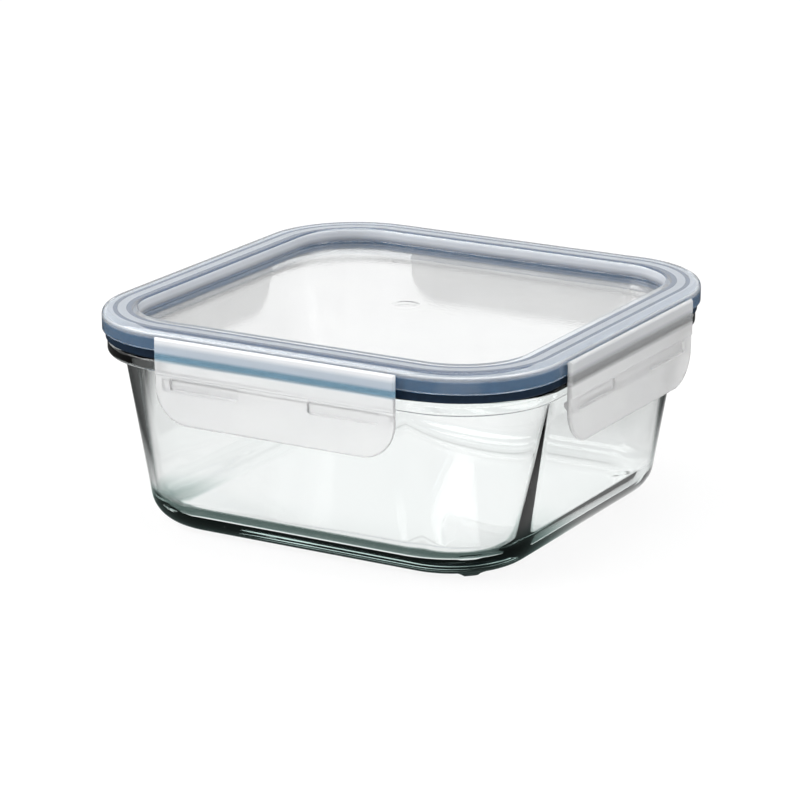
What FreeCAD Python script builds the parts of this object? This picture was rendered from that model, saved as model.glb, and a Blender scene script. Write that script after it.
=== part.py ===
"""Square glass lunch box: a heat-proof dish, a clip-on lid with a seal, and four hinged flaps.

Frame: millimetres, +Z up, origin on the table under the middle of the dish. The front is -Y.
Heights are measured from the table. Every ring is a profile carried round a rounded square, and u is
the distance of a point from the middle of the box, square to one side.
"""
import FreeCAD, Part
import math
import os

import Sketcher

SIZES = {
    "bead_width": (146.0, "glass rim, across the flats of its bead"),
    "bead_corner": (30.0, "plan radius of the bead's corners"),
    "bead_drop": (4.2, "height of the bead below the rim's top"),
    "bead_overhang": (2.3, "how far the bead stands out from the wall under it"),
    "bead_round": (1.4, "round on the bead's outer edges"),
    "rim_round": (1.2, "round on the rim's inner edge"),
    "rim_height": (57.3, "top of the glass above the table"),
    "wall_lean": (8.7, "how far the wall leans in from the bead to the base"),
    "base_corner": (25.5, "plan radius of the wall's corners at the base"),
    "base_round": (9.2, "round between wall and base, outside"),
    "glass_wall": (4.2, "thickness of the glass wall, measured level"),
    "glass_floor": (5.0, "thickness of the glass floor"),
    "floor_round": (7.0, "round between wall and floor, inside"),
    "foot_height": (0.6, "how far the moulded feet stand below the base"),
    "foot_radius": (3.0, "radius of a foot"),
    "foot_inset": (12.2, "foot centre to the side of the base"),
    "foot_root": (2.0, "length of a foot inside the glass"),
    "seal_flange": (2.8, "thickness of the seal between rim and skirt"),
    "seal_inset": (1.0, "seal's edge back from the skirt's face"),
    "seal_clearance": (0.15, "side gap between the seal and its channel"),
    "seal_rib_height": (0.9, "height of the seal's ribs"),
    "seal_rib_width": (1.5, "width of a seal rib"),
    "seal_rib_inset": (3.3, "outer rib's outer side back from the skirt's face"),
    "seal_round": (0.6, "round on the seal's outer lower edge"),
    "lid_overhang": (1.5, "skirt's face outside the bead"),
    "lid_height": (6.4, "skirt's lower edge to the top of the rim"),
    "lid_rim": (10.7, "width of the raised rim"),
    "lid_round": (2.2, "round on the rim's outer edge"),
    "lid_inner_round": (0.9, "round on the rim's inner edge"),
    "lid_skirt": (1.8, "thickness of the skirt"),
    "lid_ceiling": (2.0, "thickness of the rim over the seal's channel"),
    "lid_web": (1.8, "thickness of the wall between rim and panel"),
    "recess_depth": (4.3, "rim's top down to the panel"),
    "recess_draft": (0.5, "how far the recess narrows towards the panel"),
    "panel_thickness": (1.6, "thickness of the lid's middle panel"),
    "gate_radius": (4.5, "radius of the moulding gate's dimple"),
    "gate_depth": (0.3, "depth of the gate's dimple"),
    "flap_width": (80.0, "width of a locking flap"),
    "flap_thickness": (1.7, "thickness of a flap"),
    "flap_gap": (0.6, "gap between the skirt and a flap"),
    "flap_drop": (24.7, "hinge axis down to a flap's lower edge"),
    "flap_corner": (11.0, "radius of a flap's lower corners"),
    "hinge_drop": (2.5, "rim's top down to the hinge axis, below the rim's outer round"),
    "film_thickness": (0.5, "thickness of the film hinge"),
    "film_end_gap": (0.1, "gap between the film's end and the flap"),
    "film_end_inset": (1.0, "film's end back from the flap's side"),
    "catch_gap": (0.25, "catch rib's tip outside the bead with the flap hanging"),
    "catch_clearance": (0.75, "catch rib's top below the bead"),
    "catch_height": (3.6, "height of the catch rib at its root"),
    "catch_flat": (1.2, "height of the catch rib's blunt tip"),
    "catch_inset": (2.0, "catch rib's end back from the flap's side"),
    "catch_nose": (0.5, "slope of the catch rib's top edge"),
    "ledge_rise": (1.6, "ledge on the flap's face above the catch rib"),
    "ledge_depth": (0.3, "depth of the ledge"),
    "pocket_length": (23.0, "length of a sink pocket on the flap's face"),
    "pocket_height": (3.6, "height of a sink pocket"),
    "pocket_depth": (0.8, "depth of a sink pocket"),
    "pocket_inset": (5.3, "pocket's outer end back from the flap's side"),
    "pocket_drop": (0.7, "pocket's top edge below the ledge"),
}

SIDES = {"right": 0, "back": 90, "left": 180, "front": 270}
CORNERS = ((1, 1), (-1, 1), (-1, -1), (1, -1))
QUARTER_TURN = math.pi / 2
TOLERANCE = 1e-4
UPRIGHT = FreeCAD.Vector(0, 0, 1)


class Size:
    """A length with its expression, so that one sum gives both a number and a binding."""

    def __init__(self, value, words):
        self.value = value
        self.words = words

    def join(self, other, sign, value):
        return Size(value, f"({self.words} {sign} {words_of(other)})")

    def __add__(self, other):
        return self.join(other, "+", self.value + value_of(other))

    def __sub__(self, other):
        return self.join(other, "-", self.value - value_of(other))

    def __mul__(self, other):
        return self.join(other, "*", self.value * value_of(other))

    def __truediv__(self, other):
        return self.join(other, "/", self.value / value_of(other))


def value_of(size):
    return size.value if isinstance(size, Size) else size


def words_of(size):
    return size.words if isinstance(size, Size) else repr(size)


class Given:
    """The sizes of the sheet, as attributes."""


def write_sheet(doc):
    """Fill the sheet and return its sizes."""
    sheet = doc.addObject("Spreadsheet::Sheet", "Sizes")
    given = Given()
    for row, (name, (value, note)) in enumerate(SIZES.items(), start=1):
        sheet.set(f"A{row}", note)
        sheet.set(f"B{row}", str(value))
        sheet.setAlias(f"B{row}", name)
        setattr(given, name, Size(value, f"Sizes.{name}"))
    doc.recompute()
    return given


def work_out(g):
    """Add the places that follow from the sheet's sizes."""
    g.bead_half = g.bead_width / 2
    g.bead_bottom = g.rim_height - g.bead_drop
    g.shoulder_half = g.bead_half - g.bead_overhang
    g.base_half = g.shoulder_half - g.wall_lean
    g.shoulder_corner = g.base_corner + g.wall_lean
    g.floor_top = g.foot_height + g.glass_floor
    g.lean_per_rise = g.wall_lean / (g.bead_bottom - g.foot_height)
    g.lid_half = g.bead_half + g.lid_overhang
    g.lid_corner = g.bead_corner + g.lid_overhang
    g.skirt_bottom = g.rim_height + g.seal_flange
    g.lid_top = g.skirt_bottom + g.lid_height
    g.ceiling = g.lid_top - g.lid_ceiling
    g.skirt_inside = g.lid_half - g.lid_skirt
    g.recess_half = g.lid_half - g.lid_rim
    g.web_outside = g.recess_half + g.lid_web
    g.panel_top = g.lid_top - g.recess_depth
    g.panel_bottom = g.panel_top - g.panel_thickness
    g.panel_half = g.recess_half - g.recess_draft
    g.flap_inside = g.lid_half + g.flap_gap
    g.flap_outside = g.flap_inside + g.flap_thickness
    g.hinge_u = g.flap_inside + g.flap_thickness / 2
    g.hinge_z = g.lid_top - g.hinge_drop
    g.flap_bottom = g.hinge_z - g.flap_drop
    g.catch_top = g.bead_bottom - g.catch_clearance
    g.catch_tip = g.bead_half + g.catch_gap
    g.ledge = g.catch_top + g.ledge_rise
    return g


def origin_plane(body, role):
    return next(item for item in body.Origin.OriginFeatures if item.Role == role)


def bind(item, path, size):
    """Set one property path from the sheet."""
    item.setExpression(path, words_of(size))


def new_sketch(body, name, role, height=None):
    """Make a sketch on an origin plane, raised along the plane's normal by height."""
    sketch = body.newObject("Sketcher::SketchObject", name)
    sketch.AttachmentSupport = [(origin_plane(body, role), "")]
    sketch.MapMode = "FlatFace"
    if height is not None:
        bind(sketch, "AttachmentOffset.Base.z", height)
    return sketch


def constrain(sketch, kind, ends, size):
    """Add a driven dimension and bind it."""
    index = sketch.addConstraint(Sketcher.Constraint(kind, *ends, value_of(size)))
    bind(sketch, f"Constraints[{index}]", size)


def pin(sketch, kind, geometry, point, size):
    """Fix one coordinate of a point, measured from the sketch's origin towards the point."""
    if value_of(size) < 0:
        constrain(sketch, kind, (geometry, point, -1, 1), size * -1)
    else:
        constrain(sketch, kind, (-1, 1, geometry, point), size)


def vector(x, y):
    return FreeCAD.Vector(value_of(x), value_of(y), 0)


def add_polygon(sketch, corners):
    """Draw a closed outline of straight lines, with every corner fixed from the sheet."""
    first = sketch.GeometryCount
    count = len(corners)
    for index, corner in enumerate(corners):
        following = corners[(index + 1) % count]
        sketch.addGeometry(Part.LineSegment(vector(*corner), vector(*following)), False)
    for index, (x, y) in enumerate(corners):
        before = first + (index - 1) % count
        sketch.addConstraint(Sketcher.Constraint("Coincident", before, 2, first + index, 1))
        pin(sketch, "DistanceX", first + index, 1, x)
        pin(sketch, "DistanceY", first + index, 1, y)


def add_rounded_square(sketch, half, corner):
    """Draw a rounded square about the origin, side by side and corner by corner from the +X side."""
    flat = half - corner
    edge, run = value_of(half), value_of(flat)
    stops = [(edge, -run), (edge, run), (run, edge), (-run, edge),
             (-edge, run), (-edge, -run), (-run, -edge), (run, -edge)]
    count = len(stops)
    for index, stop in enumerate(stops):
        start, end = vector(*stop), vector(*stops[(index + 1) % count])
        if index % 2 == 0:
            sketch.addGeometry(Part.LineSegment(start, end), False)
            continue
        sign_x, sign_y = CORNERS[index // 2]
        circle = Part.Circle(vector(sign_x * run, sign_y * run), UPRIGHT, value_of(corner))
        begin = circle.parameter(start)
        sketch.addGeometry(Part.ArcOfCircle(circle, begin, begin + QUARTER_TURN), False)
        pin(sketch, "DistanceX", index, 3, flat * sign_x)
        pin(sketch, "DistanceY", index, 3, flat * sign_y)
        constrain(sketch, "Radius", (index,), corner)
    for index in range(count):
        sketch.addConstraint(Sketcher.Constraint("Tangent", index, 2, (index + 1) % count, 1))


def rounded_square(body, name, half, corner, height=None):
    sketch = new_sketch(body, name, "XY_Plane", height)
    add_rounded_square(sketch, half, corner)
    return sketch


def pad(body, name, sketch, length, symmetric=False):
    feature = body.newObject("PartDesign::Pad", name)
    feature.Profile = sketch
    feature.SideType = "Symmetric" if symmetric else "One side"
    bind(feature, "Length", length)
    return feature


def pocket(body, name, sketch, depth, symmetric=False):
    """Cut a sketch into the body, against the sketch's normal."""
    feature = body.newObject("PartDesign::Pocket", name)
    feature.Profile = sketch
    feature.SideType = "Symmetric" if symmetric else "One side"
    bind(feature, "Length", depth)
    return feature


def loft(body, name, kind, lower, upper):
    feature = body.newObject(f"PartDesign::{kind}", name)
    feature.Profile = lower
    feature.Sections = [upper]
    feature.Ruled = True
    return feature


def ring(body, name, corners, half, corner):
    """Carry a profile, given in u and height, round a rounded square."""
    path = rounded_square(body, name + "Path", half, corner)
    profile = new_sketch(body, name + "Profile", "XZ_Plane")
    add_polygon(profile, corners)
    feature = body.newObject("PartDesign::AdditivePipe", name)
    feature.Profile = profile
    feature.Spine = path
    return feature


def fillet(body, name, radius, chosen):
    """Round the edges whose end points all pass the test."""
    body.Document.recompute()
    base = body.Tip
    names = []
    for index, edge in enumerate(base.Shape.Edges, start=1):
        ends = [vertex.Point for vertex in edge.Vertexes]
        if all(chosen(point) for point in ends):
            names.append(f"Edge{index}")
    if not names:
        raise RuntimeError(f"{body.Label}: no edge found for {name}")
    feature = body.newObject("PartDesign::Fillet", name)
    feature.Base = (base, names)
    bind(feature, "Radius", radius)
    return feature


def near(value, size):
    return abs(value - value_of(size)) < TOLERANCE


def on_loop(half, height):
    """Test for the corners of a rounded square's edges at one height."""
    return lambda point: near(point.z, height) and near(max(abs(point.x), abs(point.y)), half)


def new_body(doc, name):
    body = doc.addObject("PartDesign::Body", name)
    body.Label = name
    return body


def make_dish(doc, g):
    """Glass dish: leaning walls, a thick rim bead, a rounded floor and four moulded feet."""
    body = new_body(doc, "glass_dish")
    base = rounded_square(body, "BaseOutline", g.base_half, g.base_corner, g.foot_height)
    shoulder = rounded_square(body, "ShoulderOutline", g.shoulder_half, g.shoulder_corner, g.bead_bottom)
    loft(body, "Walls", "AdditiveLoft", base, shoulder)
    fillet(body, "BaseRound", g.base_round, on_loop(g.base_half, g.foot_height))
    bead = rounded_square(body, "BeadOutline", g.bead_half, g.bead_corner, g.bead_bottom)
    pad(body, "Bead", bead, g.bead_drop)
    fillet(body, "BeadRound", g.bead_round,
           lambda point: near(max(abs(point.x), abs(point.y)), g.bead_half))
    cavity = [cavity_outline(body, g, *place) for place in (("Floor", g.floor_top), ("Mouth", g.rim_height))]
    loft(body, "Cavity", "SubtractiveLoft", *cavity)
    fillet(body, "FloorRound", g.floor_round, on_loop(cavity_half(g, g.floor_top), g.floor_top))
    fillet(body, "RimRound", g.rim_round, on_loop(cavity_half(g, g.rim_height), g.rim_height))
    make_feet(body, g)
    return body


def cavity_half(g, height):
    """Half width of the cavity, which leans as the outside does."""
    return g.base_half + g.lean_per_rise * (height - g.foot_height) - g.glass_wall


def cavity_outline(body, g, name, height):
    half = cavity_half(g, height)
    return rounded_square(body, name + "Outline", half, half - g.base_half + g.base_corner, height)


def make_feet(body, g):
    """Four round feet near the corners of the base."""
    sketch = new_sketch(body, "FeetOutline", "XY_Plane")
    spread = g.base_half - g.foot_inset
    for index, (sign_x, sign_y) in enumerate(CORNERS):
        centre = vector(spread * sign_x, spread * sign_y)
        circle = Part.Circle(centre, UPRIGHT, value_of(g.foot_radius))
        sketch.addGeometry(circle, False)
        pin(sketch, "DistanceX", index, 3, spread * sign_x)
        pin(sketch, "DistanceY", index, 3, spread * sign_y)
        constrain(sketch, "Radius", (index,), g.foot_radius)
    pad(body, "Feet", sketch, g.foot_height + g.foot_root)


def make_lid(doc, g):
    """Lid moulding: a hollow rim over the seal, and a panel sunk inside it for stacking."""
    body = new_body(doc, "lid")
    ring(body, "Rim", [
        (g.lid_half, g.skirt_bottom), (g.lid_half, g.lid_top),
        (g.recess_half, g.lid_top), (g.panel_half, g.panel_top),
        (g.panel_half, g.panel_bottom), (g.web_outside, g.panel_bottom),
        (g.web_outside, g.ceiling), (g.skirt_inside, g.ceiling),
        (g.skirt_inside, g.skirt_bottom)], g.lid_half, g.lid_corner)
    fillet(body, "RimRound", g.lid_round, on_loop(g.lid_half, g.lid_top))
    fillet(body, "RecessRound", g.lid_inner_round, on_loop(g.recess_half, g.lid_top))
    reach = g.lid_web / 2
    panel = rounded_square(body, "PanelOutline", g.recess_half + reach,
                           g.lid_corner - g.lid_rim + reach, g.panel_bottom)
    pad(body, "Panel", panel, g.panel_thickness)
    gate = new_sketch(body, "GateOutline", "XY_Plane", g.panel_top)
    gate.addGeometry(Part.Circle(vector(0, 0), UPRIGHT, g.gate_radius.value), False)
    gate.addConstraint(Sketcher.Constraint("Coincident", 0, 3, -1, 1))
    constrain(gate, "Radius", (0,), g.gate_radius)
    pocket(body, "Gate", gate, g.gate_depth)
    return body


def make_seal(doc, g):
    """Silicone seal: a flange between rim and skirt, and two ribs that fill the lid's channel."""
    body = new_body(doc, "seal_ring")
    outside = g.lid_half - g.seal_inset
    throat = g.skirt_inside - g.seal_clearance
    inside = g.web_outside + g.seal_clearance
    shelf = g.ceiling - g.seal_rib_height
    outer_rib = g.lid_half - g.seal_rib_inset
    ring(body, "Seal", [
        (outside, g.rim_height), (outside, g.skirt_bottom),
        (throat, g.skirt_bottom), (throat, shelf),
        (outer_rib, shelf), (outer_rib, g.ceiling),
        (outer_rib - g.seal_rib_width, g.ceiling), (outer_rib - g.seal_rib_width, shelf),
        (inside + g.seal_rib_width, shelf), (inside + g.seal_rib_width, g.ceiling),
        (inside, g.ceiling), (inside, g.rim_height)], g.lid_half, g.lid_corner)
    fillet(body, "SealRound", g.seal_round, on_loop(outside, g.rim_height))
    return body


def flap_section(body, g):
    """Upright plate whose round top is centred on the hinge axis."""
    sketch = new_sketch(body, "FlapSection", "XZ_Plane")
    low, high, radius = g.flap_bottom, g.hinge_z, g.flap_thickness / 2
    sketch.addGeometry(Part.LineSegment(vector(g.flap_outside, low), vector(g.flap_outside, high)), False)
    circle = Part.Circle(vector(g.hinge_u, high), UPRIGHT, radius.value)
    sketch.addGeometry(Part.ArcOfCircle(circle, 0, 2 * QUARTER_TURN), False)
    sketch.addGeometry(Part.LineSegment(vector(g.flap_inside, high), vector(g.flap_inside, low)), False)
    sketch.addGeometry(Part.LineSegment(vector(g.flap_inside, low), vector(g.flap_outside, low)), False)
    for first, second in ((0, 1), (1, 2)):
        sketch.addConstraint(Sketcher.Constraint("Tangent", first, 2, second, 1))
    for first, second in ((2, 3), (3, 0)):
        sketch.addConstraint(Sketcher.Constraint("Coincident", first, 2, second, 1))
    for upright in (0, 2):
        sketch.addConstraint(Sketcher.Constraint("Vertical", upright))
    sketch.addConstraint(Sketcher.Constraint("Horizontal", 3))
    constrain(sketch, "Radius", (1,), radius)
    pin(sketch, "DistanceX", 1, 3, g.hinge_u)
    pin(sketch, "DistanceY", 1, 3, high)
    pin(sketch, "DistanceY", 3, 1, low)
    return sketch


def make_flap(doc, g, side):
    """Locking flap with a catch rib inside, and a ledge and two sink pockets on its face."""
    body = new_body(doc, f"latch_{side}")
    pad(body, "Plate", flap_section(body, g), g.flap_width, symmetric=True)
    half = g.flap_width / 2
    for name, end in (("LowerCornerA", half), ("LowerCornerB", half * -1)):
        fillet(body, name, g.flap_corner,
               lambda point, end=end: near(point.y, end) and near(point.z, g.flap_bottom))
    root = g.hinge_u
    catch = new_sketch(body, "CatchSection", "XZ_Plane")
    add_polygon(catch, [
        (root, g.catch_top), (g.catch_tip + g.catch_nose, g.catch_top),
        (g.catch_tip, g.catch_top - g.catch_nose),
        (g.catch_tip, g.catch_top - g.catch_nose - g.catch_flat),
        (root, g.catch_top - g.catch_height)])
    pad(body, "CatchRib", catch, g.flap_width - g.catch_inset * 2, symmetric=True)
    face = g.flap_outside - g.ledge_depth
    ledge = new_sketch(body, "LedgeSection", "XZ_Plane")
    add_polygon(ledge, [
        (face, g.flap_bottom - g.ledge_depth), (g.flap_outside + g.ledge_depth, g.flap_bottom - g.ledge_depth),
        (g.flap_outside + g.ledge_depth, g.ledge), (face, g.ledge)])
    pocket(body, "Ledge", ledge, g.flap_width + g.ledge_depth * 2, symmetric=True)
    sinks = new_sketch(body, "SinkOutline", "YZ_Plane", face)
    high = g.ledge - g.pocket_drop
    low = high - g.pocket_height
    far = half - g.pocket_inset
    close = far - g.pocket_length
    add_polygon(sinks, [(close, low), (far, low), (far, high), (close, high)])
    add_polygon(sinks, [(far * -1, low), (close * -1, low), (close * -1, high), (far * -1, high)])
    pocket(body, "SinkPockets", sinks, g.pocket_depth)
    turn_to_side(body, side)
    return body


def make_film(doc, g, side):
    """Film hinge: a thin strip from the skirt's face to the top of a flap."""
    body = new_body(doc, f"film_hinge_{side}")
    sketch = new_sketch(body, "FilmSection", "XZ_Plane")
    low = g.hinge_z - g.film_thickness
    end = g.flap_inside - g.film_end_gap
    add_polygon(sketch, [(g.lid_half, low), (end, low), (end, g.hinge_z), (g.lid_half, g.hinge_z)])
    pad(body, "Film", sketch, g.flap_width - g.film_end_inset * 2, symmetric=True)
    turn_to_side(body, side)
    return body


def turn_to_side(body, side):
    turn = FreeCAD.Rotation(UPRIGHT, SIDES[side])
    body.Placement = FreeCAD.Placement(FreeCAD.Vector(), turn)


def check(doc, bodies):
    """Stop before anything is written if an object failed or a shape isn't one valid solid."""
    for item in doc.Objects:
        if {"Invalid", "Error"} & set(item.State):
            raise RuntimeError(f"{item.Label} failed: {item.State}")
    for body in bodies:
        shape = body.Shape
        if shape.isNull() or not shape.isValid() or len(shape.Solids) != 1:
            raise RuntimeError(f"{body.Label}: no single valid solid")
        box = shape.BoundBox
        print(f"{body.Label}: {shape.Volume:.1f} mm3, "
              f"x {box.XMin:.2f} {box.XMax:.2f}, y {box.YMin:.2f} {box.YMax:.2f}, "
              f"z {box.ZMin:.2f} {box.ZMax:.2f}")


def main():
    doc = FreeCAD.newDocument("LunchBox")
    sizes = work_out(write_sheet(doc))
    bodies = [make_dish(doc, sizes), make_lid(doc, sizes), make_seal(doc, sizes)]
    for side in SIDES:
        bodies.append(make_flap(doc, sizes, side))
        bodies.append(make_film(doc, sizes, side))
    doc.recompute()
    check(doc, bodies)
    os.makedirs("parts", exist_ok=True)
    for body in bodies:
        body.Shape.exportStep(f"parts/{body.Label}.step")


main()
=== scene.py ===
"""Looks of a square glass lunch box with a soft-sealed plastic lid and four fold-down latch flaps.

Every piece is a numpy surface in the CAD frame. The rings of the box (dish, seal and lid) are one profile
carried round a rounded square, and the flaps are two displaced sheets that meet at a rounded edge.
Profiles are written in millimetres and leave the script in metres.
"""
import logging
import math
from dataclasses import dataclass
from enum import Enum

import bpy
import numpy as np
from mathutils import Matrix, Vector

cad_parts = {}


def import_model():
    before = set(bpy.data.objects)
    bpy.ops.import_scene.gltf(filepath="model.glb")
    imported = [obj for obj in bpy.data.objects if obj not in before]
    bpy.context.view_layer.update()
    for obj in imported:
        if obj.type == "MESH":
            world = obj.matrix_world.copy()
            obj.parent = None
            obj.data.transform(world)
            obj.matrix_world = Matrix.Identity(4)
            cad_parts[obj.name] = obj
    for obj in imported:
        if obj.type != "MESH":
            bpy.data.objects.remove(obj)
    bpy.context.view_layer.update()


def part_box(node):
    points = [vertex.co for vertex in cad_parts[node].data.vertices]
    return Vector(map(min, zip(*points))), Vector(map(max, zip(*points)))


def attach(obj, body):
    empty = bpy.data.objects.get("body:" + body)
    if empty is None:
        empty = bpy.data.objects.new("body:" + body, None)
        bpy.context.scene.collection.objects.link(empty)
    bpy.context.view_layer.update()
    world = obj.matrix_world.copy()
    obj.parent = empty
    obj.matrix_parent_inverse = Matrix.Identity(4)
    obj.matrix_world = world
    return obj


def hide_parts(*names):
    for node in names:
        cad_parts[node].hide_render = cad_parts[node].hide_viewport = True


LOG = logging.getLogger("lunch_box")
MM = 0.001

Tree = bpy.types.NodeTree
Socket = bpy.types.NodeSocket
Colour = tuple[float, float, float]
Place = tuple[float, float, float]
Span = tuple[float, float]
Spacing = tuple[float, int]

WHITE: Colour = (1.0, 1.0, 1.0)
NOISE_SPAN: Span = (0.3, 0.7)
MIX_FIRST = 6
MIX_SECOND = 7
MIX_RESULT = 2
FLAT_SHARE = 0.69
ARC_STEP = 8.0
ARC_PARTS = 4
TINY = 1e-6
NUMBER_RESULTS = ("LENGTH", "DOT_PRODUCT")


class Side(Enum):
    """The four sides of the box, each with its quarter turn from the right-hand side."""

    RIGHT = 0
    BACK = 1
    LEFT = 2
    FRONT = 3

    @property
    def word(self) -> str:
        """Returns: the side's name as the frame spells it."""
        return self.name.lower()

    def place(self, reach: np.ndarray, along: np.ndarray, height: np.ndarray) -> np.ndarray:
        """Turns points of the right-hand side to this side.

        Args:
            reach: distances from the middle of the box, outward.
            along: distances along the side.
            height: heights above the table.

        Returns: an array of points, one row each.
        """
        angle = 0.5 * math.pi * self.value
        east = reach * math.cos(angle) - along * math.sin(angle)
        north = reach * math.sin(angle) + along * math.cos(angle)
        return np.stack([east, north, height], axis=-1)


class Slot(Enum):
    """The record's material slots."""

    GLASS = "glass"
    PLASTIC = "lid_plastic"
    SILICONE = "seal_silicone"


def new_material(name: str) -> tuple[bpy.types.Material, Tree, bpy.types.Node]:
    """Starts a node material.

    Args:
        name: the material's name.

    Returns: the material, its node tree and its Principled shader.
    """
    material = bpy.data.materials.new(name)
    material.use_nodes = True
    tree = material.node_tree
    return material, tree, tree.nodes["Principled BSDF"]


def feed(tree: Tree, entry: Socket, value: Socket | float | tuple[float, ...]) -> None:
    """Links a socket into a node's entry, or sets a constant there.

    Args:
        tree: the node tree.
        entry: the node's entry.
        value: a socket, a number, a vector or a colour.
    """
    if isinstance(value, Socket):
        tree.links.new(value, entry)
    elif entry.type == "RGBA":
        entry.default_value = (*value, 1.0)
    else:
        entry.default_value = value


def reckon(tree: Tree, operation: str, *values: Socket | float) -> Socket:
    """Adds a node that reckons with numbers.

    Args:
        tree: the node tree.
        operation: what it does, as Blender names it.
        values: its entries.

    Returns: the result.
    """
    node = tree.nodes.new("ShaderNodeMath")
    node.operation = operation
    for entry, value in zip(node.inputs, values):
        feed(tree, entry, value)
    return node.outputs["Value"]


def reckon_vector(tree: Tree, operation: str, *values: Socket | Place) -> Socket:
    """Adds a node that reckons with vectors.

    Args:
        tree: the node tree.
        operation: what it does, as Blender names it.
        values: its entries.

    Returns: the result, a number for NUMBER_RESULTS and else a vector.
    """
    node = tree.nodes.new("ShaderNodeVectorMath")
    node.operation = operation
    for entry, value in zip(node.inputs, values):
        feed(tree, entry, value)
    return node.outputs["Value" if operation in NUMBER_RESULTS else "Vector"]


def remap(
    tree: Tree, value: Socket, source: Span, target: Span = (0.0, 1.0), smooth: bool = False
) -> Socket:
    """Maps a value from one span to another and holds it at the ends.

    Args:
        tree: the node tree.
        value: the value.
        source: the span that it comes from.
        target: what the source's ends become.
        smooth: True to ease in and out.

    Returns: the mapped value.
    """
    node = tree.nodes.new("ShaderNodeMapRange")
    node.interpolation_type = "SMOOTHSTEP" if smooth else "LINEAR"
    for name, limit in zip(("From Min", "From Max", "To Min", "To Max"), (*source, *target)):
        node.inputs[name].default_value = limit
    tree.links.new(value, node.inputs["Value"])
    return node.outputs["Result"]


def blend(
    tree: Tree, factor: Socket | float, first: Socket | Colour, second: Socket | Colour, mode: str = "MIX"
) -> Socket:
    """Blends two colours.

    Args:
        tree: the node tree.
        factor: 0 gives the first colour and 1 the blend with the second.
        first: a colour.
        second: a colour.
        mode: the kind of blend, as Blender names it.

    Returns: the blended colour.
    """
    node = tree.nodes.new("ShaderNodeMix")
    node.data_type = "RGBA"
    node.blend_type = mode
    feed(tree, node.inputs["Factor"], factor)
    feed(tree, node.inputs[MIX_FIRST], first)
    feed(tree, node.inputs[MIX_SECOND], second)
    return node.outputs[MIX_RESULT]


def coordinates(tree: Tree, kind: str = "Object") -> Socket:
    """Adds the place of a point.

    Args:
        tree: the node tree.
        kind: the coordinates, as Blender names them.

    Returns: the place.
    """
    return tree.nodes.new("ShaderNodeTexCoord").outputs[kind]


def upward(tree: Tree, vector: Socket) -> Socket:
    """Takes the upward part of a vector.

    Args:
        tree: the node tree.
        vector: a place or direction.

    Returns: its Z.
    """
    node = tree.nodes.new("ShaderNodeSeparateXYZ")
    tree.links.new(vector, node.inputs["Vector"])
    return node.outputs["Z"]


def cloud(tree: Tree, scale: float, detail: float) -> Socket:
    """Adds a noise on object coordinates.

    Args:
        tree: the node tree.
        scale: waves per metre, about.
        detail: octaves of finer noise.

    Returns: the noise's factor, mostly inside NOISE_SPAN.
    """
    noise = tree.nodes.new("ShaderNodeTexNoise")
    noise.inputs["Scale"].default_value = scale
    noise.inputs["Detail"].default_value = detail
    tree.links.new(coordinates(tree), noise.inputs["Vector"])
    return noise.outputs["Fac"]


def ramp(tree: Tree, factor: Socket, stops: list[tuple[float, Colour]]) -> Socket:
    """Adds a colour ramp.

    Args:
        tree: the node tree.
        factor: the place along the ramp.
        stops: position and linear red, green and blue of each stop, in rising order.

    Returns: the colour.
    """
    node = tree.nodes.new("ShaderNodeValToRGB")
    elements = node.color_ramp.elements
    while len(elements) < len(stops):
        elements.new(1.0)
    while len(elements) > len(stops):
        elements.remove(elements[-1])
    for element, (position, shade) in zip(elements, stops):
        element.position = position
        element.color = (*shade, 1.0)
    tree.links.new(factor, node.inputs["Fac"])
    return node.outputs["Color"]


def two_tone(tree: Tree, noise: Socket, first: Colour, second: Colour) -> Socket:
    """Mottles two colours by a noise.

    Args:
        tree: the node tree.
        noise: the noise's factor.
        first: linear red, green and blue.
        second: linear red, green and blue.

    Returns: the mixed colour.
    """
    return ramp(tree, noise, list(zip(NOISE_SPAN, (first, second))))


def ripple(tree: Tree, noise: Socket, depth: float) -> Socket:
    """Turns a noise into a faint unevenness of the surface.

    Args:
        tree: the node tree.
        noise: the noise's factor.
        depth: height of the unevenness in metres.

    Returns: the bumped normal.
    """
    bump = tree.nodes.new("ShaderNodeBump")
    bump.inputs["Strength"].default_value = 1.0
    bump.inputs["Distance"].default_value = depth
    tree.links.new(noise, bump.inputs["Height"])
    return bump.outputs["Normal"]


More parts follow.
